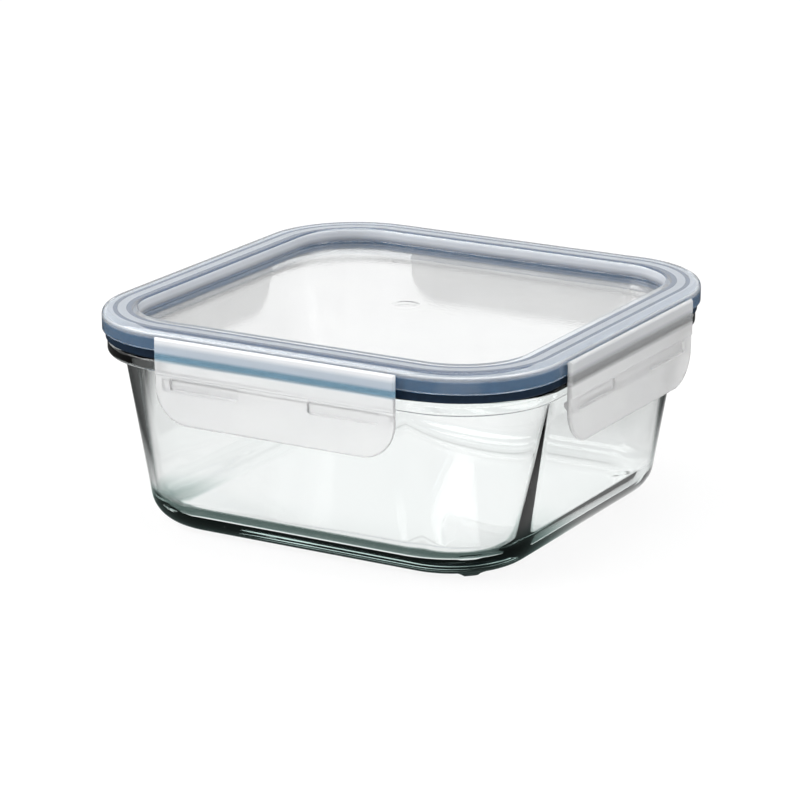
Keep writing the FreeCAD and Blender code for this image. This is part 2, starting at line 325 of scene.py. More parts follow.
@dataclass(frozen=True)
class PressedGlass:
    """Clear pressed glass, faintly green in its thick edges and faintly wavy from the mould."""

    name: str = "pressed_glass"
    light_tint: Colour = WHITE
    deep_tint: Colour = (0.990, 0.996, 0.994)
    ior: float = 1.48
    edge_colour: Colour = (0.28, 0.68, 0.60)
    edge_density: float = 5.0
    mould_scale: float = 25.0
    mould_detail: float = 0.0
    haze: Span = (0.0, 0.004)
    wave: float = 0.000008
    # painted shade: the dark colour of upright glass seen edge-on
    edge_painted_shade: Colour = (0.10, 0.13, 0.125)
    edge_span: Span = (0.60, 0.82)
    lean_span: Span = (0.35, 0.65)

    def edge_shade(self, tree: Tree, clear: Socket) -> Socket:
        """Paints shade on upright glass that is seen along its surface, standing in for the dark room that
        thick glass edges refract.

        Args:
            tree: the node tree.
            clear: the glass's colour where it is seen face on.

        Returns: the colour with painted dark edges.
        """
        facing = tree.nodes.new("ShaderNodeLayerWeight").outputs["Facing"]
        normal = tree.nodes.new("ShaderNodeNewGeometry").outputs["Normal"]
        steep = remap(tree, facing, self.edge_span, smooth=True)
        lean = reckon(tree, "ABSOLUTE", upward(tree, normal))
        upright = remap(tree, lean, self.lean_span, (1.0, 0.0))
        # painted shade blended in where upright glass is seen along its surface
        return blend(tree, reckon(tree, "MULTIPLY", steep, upright), clear, self.edge_painted_shade)

    def build(self) -> bpy.types.Material:
        """Returns: the glass material."""
        material, tree, shader = new_material(self.name)
        mould = cloud(tree, self.mould_scale, self.mould_detail)
        shader.inputs["Transmission Weight"].default_value = 1.0
        shader.inputs["IOR"].default_value = self.ior
        clear = two_tone(tree, mould, self.light_tint, self.deep_tint)
        tree.links.new(self.edge_shade(tree, clear), shader.inputs["Base Color"])
        tree.links.new(remap(tree, mould, NOISE_SPAN, self.haze), shader.inputs["Roughness"])
        tree.links.new(ripple(tree, mould, self.wave), shader.inputs["Normal"])
        inside = tree.nodes.new("ShaderNodeVolumeAbsorption")
        inside.inputs["Color"].default_value = (*self.edge_colour, 1.0)
        inside.inputs["Density"].default_value = self.edge_density
        tree.links.new(inside.outputs["Volume"], tree.nodes["Material Output"].inputs["Volume"])
        return material


@dataclass(frozen=True)
class Veil:
    """How clear the plastic is at one height, and what it tints there."""

    height: float
    clearness: float
    tint: Colour = WHITE


@dataclass(frozen=True)
class MilkyPlastic:
    """Moulded polypropylene: see-through, with a milky haze that follows the melt's flow, and clearness and
    tint set by height, which on the flaps paint light, shade and the seal's blue glow.
    """

    name: str
    haze: Span
    veils: tuple[Veil, ...]
    light_tint: Colour = (0.98, 0.98, 0.98)
    deep_tint: Colour = (0.955, 0.955, 0.96)
    ior: float = 1.49
    flow_scale: float = 60.0
    grain_scale: float = 900.0
    detail: float = 2.0
    grain: float = 0.00001

    def climb(self, tree: Tree, shades: list[Colour]) -> Socket:
        """Blends one shade for each veil over the veils' heights.

        Args:
            tree: the node tree.
            shades: linear red, green and blue for each veil.

        Returns: the blended shade.
        """
        low = self.veils[0].height
        span = max(self.veils[-1].height - low, TINY)
        share = remap(tree, upward(tree, coordinates(tree)), (low, low + span))
        positions = [(veil.height - low) / span for veil in self.veils]
        return ramp(tree, share, list(zip(positions, shades)))

    def build(self) -> bpy.types.Material:
        """Returns: the plastic material."""
        material, tree, shader = new_material(self.name)
        flow = cloud(tree, self.flow_scale, self.detail)
        skin = cloud(tree, self.grain_scale, self.detail)
        shader.inputs["IOR"].default_value = self.ior
        clearness = self.climb(tree, [(veil.clearness,) * 3 for veil in self.veils])
        mottled = two_tone(tree, flow, self.light_tint, self.deep_tint)
        veiled = self.climb(tree, [veil.tint for veil in self.veils])
        tree.links.new(clearness, shader.inputs["Transmission Weight"])
        tree.links.new(blend(tree, 1.0, mottled, veiled, "MULTIPLY"), shader.inputs["Base Color"])
        tree.links.new(remap(tree, flow, NOISE_SPAN, self.haze), shader.inputs["Roughness"])
        tree.links.new(ripple(tree, skin, self.grain), shader.inputs["Normal"])
        return material


@dataclass(frozen=True)
class SoftSilicone:
    """Blue-grey silicone rubber with a soft sheen and a fine dusty grain."""

    name: str
    light_tint: Colour
    deep_tint: Colour
    ior: float = 1.41
    sheen: float = 0.12
    haze: Span = (0.38, 0.52)
    dust_scale: float = 700.0
    dust_detail: float = 3.0
    grain: float = 0.00002

    def build(self) -> bpy.types.Material:
        """Returns: the silicone material."""
        material, tree, shader = new_material(self.name)
        dust = cloud(tree, self.dust_scale, self.dust_detail)
        shader.inputs["IOR"].default_value = self.ior
        shader.inputs["Specular IOR Level"].default_value = self.sheen
        tree.links.new(two_tone(tree, dust, self.light_tint, self.deep_tint), shader.inputs["Base Color"])
        tree.links.new(remap(tree, dust, NOISE_SPAN, self.haze), shader.inputs["Roughness"])
        tree.links.new(ripple(tree, dust, self.grain), shader.inputs["Normal"])
        return material


def rounded_line(corners: list[tuple[float, float, float]], closed: bool, step: float = 4.0) -> np.ndarray:
    """Rounds the corners of a polyline and spaces points along it.

    Each corner of radius r is replaced by the arc that touches both its legs: the arc starts r times the
    tangent of half the turn before the corner. Straight stretches get a point about every step.

    Args:
        corners: (reach, height, radius) of each corner in millimetres.
        closed: True if the last corner joins the first.
        step: longest stretch between two points.

    Returns: an array of (reach, height), without the repeated first point.
    """
    knots = np.array(corners, dtype=float)
    count = len(knots)
    pieces: list[np.ndarray] = []
    for index, (reach, height, radius) in enumerate(corners):
        here = np.array([reach, height])
        if radius <= 0.0 or (not closed and index in (0, count - 1)):
            pieces.append(here[None, :])
            continue
        into = here - knots[index - 1, :2]
        away = knots[(index + 1) % count, :2] - here
        into /= np.linalg.norm(into)
        away /= np.linalg.norm(away)
        turn = math.atan2(into[0] * away[1] - into[1] * away[0], float(into @ away))
        side = np.array([-into[1], into[0]]) * math.copysign(1.0, turn)
        start = here - into * radius * math.tan(abs(turn) / 2.0)
        parts = max(ARC_PARTS, math.ceil(math.degrees(abs(turn)) / ARC_STEP))
        sweep = np.linspace(0.0, abs(turn), parts + 1)[:, None]
        pieces.append(start + side * radius * (1.0 - np.cos(sweep)) + into * radius * np.sin(sweep))
    line = np.vstack(pieces)
    follow = np.roll(line, -1, axis=0) if closed else np.vstack([line[1:], line[-1:]])
    lengths = np.linalg.norm(follow - line, axis=1)
    shares = np.maximum(np.ceil(lengths / step), 1.0).astype(int)
    starts = np.repeat(np.arange(len(line)), shares)
    within = np.arange(len(starts)) - np.repeat(np.cumsum(shares) - shares, shares)
    fraction = (within / shares[starts])[:, None]
    return line[starts] + (follow - line)[starts] * fraction


@dataclass(frozen=True)
class SquareWalk:
    """Stations round a rounded square: even steps on the flats and even turns in the corners."""

    flat_steps: int = 12
    corner_steps: int = 32

    def stations(self) -> tuple[np.ndarray, np.ndarray]:
        """Returns: the unit square's point and the outward direction at each station, one row each."""
        slide = np.linspace(-1.0, 1.0, self.flat_steps, endpoint=False)
        sweep = np.linspace(0.0, 0.5 * math.pi, self.corner_steps, endpoint=False)
        flat_points = np.column_stack([np.ones_like(slide), slide])
        flat_aims = np.tile([1.0, 0.0], (self.flat_steps, 1))
        corner_points = np.ones((self.corner_steps, 2))
        corner_aims = np.column_stack([np.cos(sweep), np.sin(sweep)])
        points = np.vstack([flat_points, corner_points])
        aims = np.vstack([flat_aims, corner_aims])
        turns = [np.linalg.matrix_power(np.array([[0, -1], [1, 0]]), quarter) for quarter in range(4)]
        around = np.vstack([points @ turn.T for turn in turns])
        outward = np.vstack([aims @ turn.T for turn in turns])
        return around, outward

    def carry(self, line: np.ndarray, flats: np.ndarray, circle: np.ndarray) -> np.ndarray:
        """Carries a profile round the square.

        A profile point at reach u with flats of half-length c lies at c times the unit square's point plus
        (u - c) along the outward direction. Where circle is above 0, that place is mixed with the point of
        a round of radius u in the same bearing.

        Args:
            line: (reach, height) of each profile point.
            flats: half-length of the straight part of a side at each profile point.
            circle: 0 for a rounded square and 1 for a circle at each profile point.

        Returns: an array of shape (profile points, stations, 3).
        """
        around, outward = self.stations()
        bearing = around * FLAT_SHARE + outward * (1.0 - FLAT_SHARE)
        bearing /= np.linalg.norm(bearing, axis=1)[:, None]
        reach = line[:, 0][:, None, None]
        flat = flats[:, None, None]
        mix = circle[:, None, None]
        square = flat * around[None] + (reach - flat) * outward[None]
        plan = (1.0 - mix) * square + mix * reach * bearing[None]
        height = np.broadcast_to(line[:, 1][:, None, None], (len(line), len(around), 1))
        return np.concatenate([plan, height], axis=2)


@dataclass
class Skin:
    """A closed surface: points in millimetres, faces of four and three sides, and a finish for each."""

    points: np.ndarray
    quads: np.ndarray
    tris: np.ndarray
    quad_finish: np.ndarray
    tri_finish: np.ndarray

    @classmethod
    def from_loop(cls, grid: np.ndarray, finish: np.ndarray) -> "Skin":
        """Closes a grid in both directions, as a ring.

        Args:
            grid: points of shape (profile points, stations, 3).
            finish: number of the finish at each profile point.

        Returns: the closed skin.
        """
        rows, columns = grid.shape[:2]
        index = np.arange(rows * columns).reshape(rows, columns)
        below = np.roll(index, -1, axis=0)
        quads = np.stack([index, np.roll(index, -1, axis=1), np.roll(below, -1, axis=1), below], axis=-1)
        quads = quads.reshape(-1, 4)
        none = np.zeros((0, 3), dtype=int)
        return cls(grid.reshape(-1, 3), quads, none, np.repeat(finish, columns), np.zeros(0, int))

    @classmethod
    def from_shell(cls, grid: np.ndarray, finish: np.ndarray) -> "Skin":
        """Closes a grid round its stations, with one pole at each end of the profile.

        Args:
            grid: points of shape (profile points, stations, 3), whose first and last rows are the poles.
            finish: number of the finish at each profile point.

        Returns: the closed skin.
        """
        poles = np.stack([grid[0].mean(axis=0), grid[-1].mean(axis=0)])
        body = grid[1:-1]
        rows, columns = body.shape[:2]
        index = np.arange(rows * columns).reshape(rows, columns)
        beside = np.roll(index, -1, axis=1)
        quads = np.stack([index[:-1], beside[:-1], beside[1:], index[1:]], axis=-1).reshape(-1, 4)
        first = np.full(columns, rows * columns)
        fan_first = np.stack([first, beside[0], index[0]], axis=-1)
        fan_last = np.stack([first + 1, index[-1], beside[-1]], axis=-1)
        quad_finish = np.repeat(finish[1:-2], columns)
        tri_finish = np.repeat([finish[0], finish[-1]], columns)
        points = np.vstack([body.reshape(-1, 3), poles])
        return cls(points, quads, np.vstack([fan_first, fan_last]), quad_finish, tri_finish)

    @classmethod
    def from_sheets(cls, outer: np.ndarray, inner: np.ndarray) -> "Skin":
        """Joins two sheets that share their whole border.

        Args:
            outer: points of shape (rows, columns, 3).
            inner: the same grid on the other face, equal to outer along the border.

        Returns: the closed skin.
        """
        rows, columns = outer.shape[:2]
        front = np.arange(rows * columns).reshape(rows, columns)
        back = np.array(front)
        core = (rows - 2) * (columns - 2)
        back[1:-1, 1:-1] = rows * columns + np.arange(core).reshape(rows - 2, columns - 2)
        face = np.stack([front[:-1, :-1], front[:-1, 1:], front[1:, 1:], front[1:, :-1]], axis=-1)
        rear = np.stack([back[:-1, :-1], back[1:, :-1], back[1:, 1:], back[:-1, 1:]], axis=-1)
        quads = np.vstack([face.reshape(-1, 4), rear.reshape(-1, 4)])
        points = np.vstack([outer.reshape(-1, 3), inner[1:-1, 1:-1].reshape(-1, 3)])
        none = np.zeros((0, 3), dtype=int)
        return cls(points, quads, none, np.zeros(len(quads), int), np.zeros(0, int))

    def settle(self) -> np.ndarray:
        """Turns all faces outward and averages their normals at the points, weighted by area.

        The area vector of a four-sided face is half the cross product of its diagonals. The signed volume
        under all faces tells whether they look outward.

        Returns: one unit normal for each point.
        """
        spots = self.points
        quad = spots[self.quads]
        tri = spots[self.tris]
        quad_area = 0.5 * np.cross(quad[:, 2] - quad[:, 0], quad[:, 3] - quad[:, 1])
        tri_area = 0.5 * np.cross(tri[:, 1] - tri[:, 0], tri[:, 2] - tri[:, 0])
        volume = float((quad.mean(axis=1) * quad_area).sum() + (tri.mean(axis=1) * tri_area).sum())
        if volume < 0.0:
            self.quads = self.quads[:, ::-1]
            self.tris = self.tris[:, ::-1]
            quad_area = -quad_area
            tri_area = -tri_area
        normals = np.zeros_like(spots)
        np.add.at(normals, self.quads, quad_area[:, None, :])
        np.add.at(normals, self.tris, tri_area[:, None, :])
        return normals / np.maximum(np.linalg.norm(normals, axis=1), 1e-12)[:, None]

    def make(self, name: str, body: str, slot: Slot, *finishes: bpy.types.Material) -> bpy.types.Object:
        """Makes the object, gives it its finishes and hangs it on its CAD body in place of the CAD node.

        Args:
            name: the CAD node that the piece stands for.
            body: the CAD body that it rides on.
            slot: the record's material slot; not used.
            finishes: the materials, in the order of the finish numbers.

        Returns: the object.
        """
        normals = self.settle()
        mesh = bpy.data.meshes.new(name + "_skin")
        mesh.from_pydata((self.points * MM).tolist(), [], self.quads.tolist() + self.tris.tolist())
        for finish in finishes:
            mesh.materials.append(finish)
        numbers = np.concatenate([self.quad_finish, self.tri_finish]).astype(np.int32)
        mesh.polygons.foreach_set("material_index", numbers)
        mesh.polygons.foreach_set("use_smooth", np.ones(len(numbers), dtype=bool))
        mesh.update()
        mesh.normals_split_custom_set_from_vertices(normals.tolist())
        piece = bpy.data.objects.new(name + "_looks", mesh)
        bpy.context.scene.collection.objects.link(piece)
        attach(piece, body)
        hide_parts(name)
        LOG.info("%s: %d points on body %s", piece.name, len(self.points), body)
        return piece


def node_box(name: str) -> tuple[np.ndarray, np.ndarray]:
    """Reads a CAD node's box.

    Args:
        name: the CAD node.

    Returns: its lowest and highest corners in millimetres.
    """
    low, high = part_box(name)
    return np.array(low) / MM, np.array(high) / MM


def ease(value: np.ndarray) -> np.ndarray:
    """Smooth step: 3t squared less 2t cubed of the value held between 0 and 1.

    Args:
        value: any numbers.

    Returns: numbers from 0 to 1.
    """
    share = np.clip(value, 0.0, 1.0)
    return share * share * (3.0 - 2.0 * share)


def inside_edge(gap: np.ndarray, slope: float) -> np.ndarray:
    """Eases from 0 outside an edge to 1 inside it.

    Args:
        gap: how far inside the edge a point lies, negative outside.
        slope: width of the change, half of it on each side of the edge.

    Returns: numbers from 0 to 1.
    """
    return ease(0.5 + gap / slope)


@dataclass
class GlassDish:
    """The pressed glass dish: four leaning walls, a thick floor, a beaded rim and four small feet."""

    rim_half: float
    rim_top: float
    foot_plane: float
    bead_reach: float = 2.3
    bead_height: float = 4.2
    bead_round: float = 1.4
    neck_round: float = 0.7
    flat_low: float = 36.5
    flat_high: float = 43.0
    base_half: float = 62.0
    base_lift: float = 0.6
    base_round: float = 9.2
    wall: float = 4.2
    floor: float = 5.0
    floor_round: float = 7.0
    rim_round: float = 1.2
    corner_sharp: float = 4.0
    foot_place: float = 49.8
    foot_radius: float = 3.0
    foot_slope: float = 1.6
    foot_skin: float = 0.3
    flat_steps: int = 24
    stretch: float = 3.0

    @classmethod
    def from_frame(cls) -> "GlassDish":
        """Returns: a dish of the size that the frame gives."""
        low, high = node_box("glass_dish")
        return cls(rim_half=high[0], rim_top=high[2], foot_plane=low[2])

    def build(self) -> Skin:
        """Carries the dish's section round the square and presses the feet out of its base.

        A foot lowers the base to the foot plane by a smooth step of the distance from the foot's middle.

        Returns: the dish's skin.
        """
        shoulder = self.rim_top - self.bead_height
        neck = self.rim_half - self.bead_reach
        lean = (neck - self.base_half) / (shoulder - self.base_lift)
        floor_top = self.base_lift + self.floor
        floor_half = self.base_half + lean * self.floor - self.wall
        mouth_half = self.base_half + lean * (self.rim_top - self.base_lift) - self.wall
        line = rounded_line(
            [
                (0.0, floor_top, 0.0),
                (floor_half, floor_top, self.floor_round),
                (mouth_half, self.rim_top, self.rim_round),
                (self.rim_half, self.rim_top, self.bead_round),
                (self.rim_half, shoulder, self.bead_round),
                (neck, shoulder, self.neck_round),
                (self.base_half, self.base_lift, self.base_round),
                (0.0, self.base_lift, 0.0),
            ],
            closed=False,
            step=self.stretch,
        )
        reach = line[:, 0]
        spread_out = np.clip((reach - neck) / (self.rim_half - self.bead_round - neck), 0.0, 1.0)
        flats = self.flat_low + (self.flat_high - self.flat_low) * spread_out
        inside = np.arange(len(line)) < np.argmax(line[:, 1] > self.rim_top - TINY)
        depth = np.sqrt(np.clip((self.rim_top - line[:, 1]) / (self.rim_top - floor_top), 0.0, 1.0))
        flats = np.where(inside, flats + self.corner_sharp * depth, flats)
        flats = np.minimum(flats, FLAT_SHARE * reach)
        grid = SquareWalk(self.flat_steps).carry(line, flats, np.zeros(len(line)))
        corner = np.abs(grid[:, :, :2]) - self.foot_place
        away = np.linalg.norm(corner, axis=2)
        sink = inside_edge(self.foot_radius - away, self.foot_slope)
        under = grid[:, :, 2] < self.base_lift + self.foot_skin
        grid[:, :, 2] -= np.where(under, sink * (grid[:, :, 2] - self.foot_plane), 0.0)
        return Skin.from_shell(grid, np.zeros(len(line), int))

    def dress(self, skin: Skin) -> None:
        """Puts the glass on the dish.

        Args:
            skin: the dish's skin.
        """
        skin.make("glass_dish", "dish", Slot.GLASS, PressedGlass().build())


@dataclass
class SealRing:
    """The silicone seal: a flat lip on the glass rim with two ribs that press into the lid's channel."""

    lip_half: float
    lip_low: float
    rib_top: float
    inside: float = 65.57
    lip_high: float = 60.1
    throat_half: float = 72.73
    shelf: float = 63.6
    outer_rib_out: float = 71.2
    outer_rib_in: float = 69.7
    inner_rib_out: float = 67.25
    flat: float = 43.0
    lip_round: float = 0.6
    lip_inner_round: float = 0.5
    lip_top_round: float = 0.35
    throat_round: float = 0.25
    shelf_round: float = 0.3
    nook_round: float = 0.2
    crest_round: float = 0.2
    slack: float = 0.04
    press: float = 0.06

    @classmethod
    def from_frame(cls) -> "SealRing":
        """Returns: a seal of the size that the frame gives."""
        low, high = node_box("seal_ring")
        return cls(lip_half=high[0], lip_low=low[2], rib_top=high[2])

    def build(self) -> Skin:
        """Carries the seal's section round the square.

        Returns: the seal's skin, with finish 0 on its sides, 1 on the lip and 2 on the crests of the ribs.
        """
        top = self.rib_top + self.press
        line = rounded_line(
            [
                (self.inside, self.lip_low + self.slack, self.lip_inner_round),
                (self.lip_half, self.lip_low + self.slack, self.lip_round),
                (self.lip_half, self.lip_high - self.slack, self.lip_top_round),
                (self.throat_half, self.lip_high - self.slack, self.throat_round),
                (self.throat_half, self.shelf, self.shelf_round),
                (self.outer_rib_out, self.shelf, self.nook_round),
                (self.outer_rib_out, top, self.crest_round),
                (self.outer_rib_in, top, self.crest_round),
                (self.outer_rib_in, self.shelf, self.nook_round),
                (self.inner_rib_out, self.shelf, self.nook_round),
                (self.inner_rib_out, top, self.crest_round),
                (self.inside, top, self.crest_round),
            ],
            closed=True,
        )
        flats = np.full(len(line), self.flat)
        grid = SquareWalk().carry(line, flats, np.zeros(len(line)))
        finish = np.where(line[:, 1] < self.lip_high, 1, 0)
        finish = np.where(line[:, 1] > self.shelf + self.crest_round, 2, finish)
        return Skin.from_loop(grid, finish)

    def dress(self, skin: Skin) -> None:
        """Puts the silicone on the seal: a brighter blue on the ribs as painted light from the rim above, a
        dark navy on the lip as painted shade, and deeper in colour where the crests wet the lid.

        Args:
            skin: the seal's skin.
        """
        # the ribs' brighter blue is painted light and the lip's dark navy is painted shade: lit and shaded
        # copies of one silicone
        ribs = SoftSilicone("seal_ribs_painted_light", (0.050, 0.155, 0.300), (0.038, 0.125, 0.250)).build()
        crests = SoftSilicone("seal_crests", (0.010, 0.068, 0.165), (0.008, 0.054, 0.135)).build()
        lip = SoftSilicone("seal_lip_painted_shade", (0.008, 0.019, 0.037), (0.006, 0.014, 0.028)).build()
        skin.make("seal_ring", "lid", Slot.SILICONE, ribs, lip, crests)


@dataclass
class Lid:
    """The lid: a sunk clear panel, a raised hollow rim over the seal's channel, and a short skirt."""

    half: float
    top: float
    panel_low: float
    skirt_low: float = 60.1
    outer_round: float = 2.2
    recess_half: float = 63.8
    inner_round: float = 0.9
    panel_half: float = 63.3
    panel_top: float = 62.2
    web_half: float = 65.6
    ceiling: float = 64.5
    skirt_inside: float = 72.7
    inner_edge: float = 68.0
    flat: float = 43.0
    gate_radius: float = 4.5
    gate_depth: float = 0.05
    gate_slope: float = 1.2
    gate_round: float = 1.5
    panel_round: float = 0.6
    skirt_round: float = 0.35
    channel_round: float = 0.25
    web_round: float = 0.5
    panel_edge: float = 0.2
    touch: float = 0.01
    circle_span: Span = (2.0, 6.0)
    stretch: float = 3.0

    @classmethod
    def from_frame(cls) -> "Lid":
        """Returns: a lid of the size that the frame gives."""
        low, high = node_box("lid")
        return cls(half=high[0], top=high[2], panel_low=low[2])

    def build(self) -> Skin:
        """Carries the lid's section round the square, which turns to a circle towards the gate mark.

        The change from circle to square is a smooth step of the reach, counted in radii of the gate mark.

        Returns: the lid's skin, with finish 0 on the panel, 1 on the skirt, 2 on the rim's top, 3 on the
        ceiling of the seal's channel and 4 on the web round the panel.
        """
        gate_floor = self.panel_top - self.gate_depth
        line = rounded_line(
            [
                (0.0, gate_floor, 0.0),
                (self.gate_radius - self.gate_slope, gate_floor, self.gate_round),
                (self.gate_radius, self.panel_top, self.gate_round),
                (self.panel_half, self.panel_top, self.panel_round),
                (self.recess_half, self.top, self.inner_round),
                (self.half, self.top, self.outer_round),
                (self.half, self.skirt_low, self.skirt_round),
                (self.skirt_inside, self.skirt_low, self.skirt_round),
                (self.skirt_inside, self.ceiling, self.channel_round),
                (self.web_half, self.ceiling, self.channel_round),
                (self.web_half, self.panel_low, self.web_round),
                (0.0, self.panel_low, 0.0),
            ],
            closed=False,
            step=self.stretch,
        )
        reach = line[:, 0]
        flats = np.minimum(self.flat, FLAT_SHARE * reach)
        round_end, square_start = (radii * self.gate_radius for radii in self.circle_span)
        circle = 1.0 - ease((reach - round_end) / (square_start - round_end))
        grid = SquareWalk().carry(line, flats, circle)
        finish = np.where(reach > self.panel_half - self.panel_edge, 1, 0)
        on_top = (line[:, 1] > self.top - 0.5 * self.outer_round) & (reach > self.recess_half)
        finish = np.where(on_top, 2, finish)
        under_rim = (np.abs(line[:, 1] - self.ceiling) < self.touch) & (reach > self.web_half)
        finish = np.where(under_rim, 3, finish)
        on_web = (finish == 1) & (reach < self.inner_edge)
        finish = np.where(on_web, 4, finish)
        return Skin.from_shell(grid, finish)

    def dress(self, skin: Skin) -> None:
        """Puts clear plastic on the panel, milkier plastic round it and a matt ceiling in the channel.

        The seal's ribs press into the matt ceiling, so they show through the rim, and the gap between them
        doesn't.

        Args:
            skin: the lid's skin.
        """
        hazy = (0.93, 0.96, 1.0)
        upper_skirt = (Veil(0.0634, 0.94, (0.88, 0.95, 1.0)), Veil(0.0660, 0.50))
        upper_web = (Veil(0.0622, 0.95, hazy), Veil(0.0630, 0.72, hazy), Veil(0.0643, 0.36, hazy))
        over_seal = (Veil(0.0, 0.90, (0.80, 0.85, 0.91)),)
        ceiling = (Veil(0.0, 0.35, (0.68, 0.72, 0.76)),)
        panel = MilkyPlastic("panel_plastic", (0.0, 0.01), (Veil(0.0, 0.98),)).build()
        skirt = MilkyPlastic("skirt_plastic", (0.02, 0.06), upper_skirt).build()
        rim = MilkyPlastic("rim_plastic", (0.04, 0.08), over_seal).build()
        matt = MilkyPlastic("channel_plastic", (0.30, 0.45), ceiling).build()
        web = MilkyPlastic("web_plastic", (0.02, 0.06), upper_web).build()
        skin.make("lid", "lid", Slot.PLASTIC, panel, skirt, rim, matt, web)


def close_to(marks: list[float], reach: float, parts: int) -> np.ndarray:
    """Spaces points closely round some marks.

    Args:
        marks: the places.
        reach: how far the close points go to each side.
        parts: points on each side.

    Returns: all the points, unsorted.
    """
    offsets = np.linspace(-reach, reach, 2 * parts + 1)
    return (np.array(marks)[:, None] + offsets[None, :]).ravel()


@dataclass
class Latch:
    """One latch flap: a thin plate with a rounded hinge edge, a ledge, two pockets and a catch rib."""

    side: Side
    outer: float
    rib_tip: float
    bottom: float
    top: float
    half_width: float
    thickness: float = 1.7
    edge_round: float = 0.6
    corner: float = 11.0
    step_height: float = 53.95
    step_depth: float = 0.3
    pocket_near: float = 11.7
    pocket_far: float = 34.7
    pocket_low: float = 49.65
    pocket_high: float = 53.25
    pocket_depth: float = 0.8
    pocket_corner: float = 0.9
    pocket_slope: float = 0.3
    step_slope: float = 0.24
    rib_slope: float = 0.3
    rib_half: float = 38.0
    rib_heights: tuple[float, ...] = (48.75, 50.65, 51.85, 52.25, 52.45)
    rib_shares: tuple[float, ...] = (0.0, 1.0, 1.0, 0.75, 0.0)
    rib_steep: int = 3
    rows: int = 34
    columns: int = 28
    edge_points: int = 9
    pocket_spacing: Spacing = (0.5, 5)
    step_spacing: Spacing = (0.3, 4)
    steep_spacing: Spacing = (0.1, 2)
    gentle_spacing: Spacing = (0.2, 2)
    rib_end_spacing: Spacing = (0.3, 3)

    @classmethod
    def from_frame(cls, side: Side) -> "Latch":
        """Reads a flap's size from the right-hand one, which all four share.

        Args:
            side: the flap's side.

        Returns: the flap.
        """
        low, high = node_box("latch_right")
        return cls(side=side, outer=high[0], rib_tip=low[0], bottom=low[2], top=high[2], half_width=high[1])

    def edge_distance(self, along: np.ndarray, height: np.ndarray) -> np.ndarray:
        """Measures how far inside the flap's outline a point lies, apart from the hinge edge.

        Args:
            along: places across the flap.
            height: heights.

        Returns: the distance to the nearer of side and bottom, or to the corner's arc.
        """
        side_gap = self.half_width - np.abs(along)
        low_gap = height - self.bottom
        in_corner = (side_gap < self.corner) & (low_gap < self.corner)
        arc_gap = self.corner - np.hypot(self.corner - side_gap, self.corner - low_gap)
        return np.where(in_corner, arc_gap, np.minimum(side_gap, low_gap))

    def pocket(self, along: np.ndarray, height: np.ndarray) -> np.ndarray:
        """Shapes the two sink pockets: 1 inside a rounded rectangle and 0 outside, with a short slope.

        Args:
            along: places across the flap.
            height: heights.

        Returns: the share of the pocket's depth.
        """
        middle = 0.5 * (self.pocket_near + self.pocket_far)
        wide = np.abs(np.abs(along) - middle)
        wide = wide - 0.5 * (self.pocket_far - self.pocket_near) + self.pocket_corner
        tall = np.abs(height - 0.5 * (self.pocket_low + self.pocket_high))
        tall = tall - 0.5 * (self.pocket_high - self.pocket_low) + self.pocket_corner
        outside = np.hypot(np.maximum(wide, 0.0), np.maximum(tall, 0.0))
        gap = outside + np.minimum(np.maximum(wide, tall), 0.0) - self.pocket_corner
        return inside_edge(-gap, self.pocket_slope)

    def build(self) -> Skin:
        """Displaces two sheets over the flap's outline.

        Half the thickness shrinks to nothing at the outline: as a circle at the hinge edge and as an ellipse
        at the other edges. The outer sheet steps in below the ledge and at the pockets. The inner sheet
        bulges at the rib.

        Returns: the flap's skin.
        """
        half_thick = 0.5 * self.thickness
        quarter = np.linspace(0.0, 0.5 * math.pi, self.edge_points)
        inset = self.edge_round * (1.0 - np.cos(quarter))
        heights = np.concatenate(
            [
                np.linspace(self.bottom, self.top, self.rows),
                self.bottom + inset,
                self.top - half_thick * (1.0 - np.cos(quarter)),
                close_to([self.pocket_low, self.pocket_high], *self.pocket_spacing),
                close_to([self.step_height], *self.step_spacing),
                close_to(list(self.rib_heights[self.rib_steep :]), *self.steep_spacing),
                close_to(list(self.rib_heights[: self.rib_steep]), *self.gentle_spacing),
            ]
        )
        heights = np.unique(np.round(heights, 3))[::-1]
        shares = np.concatenate(
            [
                np.linspace(0.0, self.half_width, self.columns),
                self.half_width - inset,
                close_to([self.pocket_near, self.pocket_far], *self.pocket_spacing),
                close_to([self.rib_half], *self.rib_end_spacing),
            ]
        )
        shares = np.unique(np.round(shares, 3)) / self.half_width
        shares = np.concatenate([-shares[:0:-1], shares])
        drop = np.clip(self.bottom + self.corner - heights, 0.0, self.corner)
        widths = self.half_width - self.corner + np.sqrt(np.maximum(self.corner**2 - drop**2, 0.0))
        height = np.broadcast_to(heights[:, None], (len(heights), len(shares)))
        along = widths[:, None] * shares[None, :]
        border = np.ones(height.shape, dtype=bool)
        border[1:-1, 1:-1] = False

        to_edge = np.clip(self.edge_distance(along, height) / self.edge_round, 0.0, 1.0)
        to_hinge = np.clip((self.top - height) / half_thick, 0.0, 1.0)
        swell = np.sqrt(1.0 - (1.0 - to_edge) ** 2) * np.sqrt(1.0 - (1.0 - to_hinge) ** 2)
        swell = np.where(border, 0.0, swell)
        middle = self.outer - half_thick
        step = self.step_depth * inside_edge(self.step_height - height, self.step_slope)
        sunk = self.pocket_depth * self.pocket(along, height)
        outer = middle + swell * (half_thick - step - sunk)
        rib_reach = self.outer - self.thickness - self.rib_tip
        rib = rib_reach * np.interp(height, self.rib_heights, self.rib_shares)
        rib = rib * inside_edge(self.rib_half - np.abs(along), self.rib_slope)
        inner = middle - swell * (half_thick + rib)
        sheets = [self.side.place(reach, along, height) for reach in (outer, inner)]
        return Skin.from_sheets(*sheets)

    def dress(self, skin: Skin, finish: bpy.types.Material) -> None:
        """Puts the plastic on the flap.

        Args:
            skin: the flap's skin.
            finish: the plastic of the flap's side.
        """
        name = "latch_" + self.side.word
        skin.make(name, name, Slot.PLASTIC, finish)


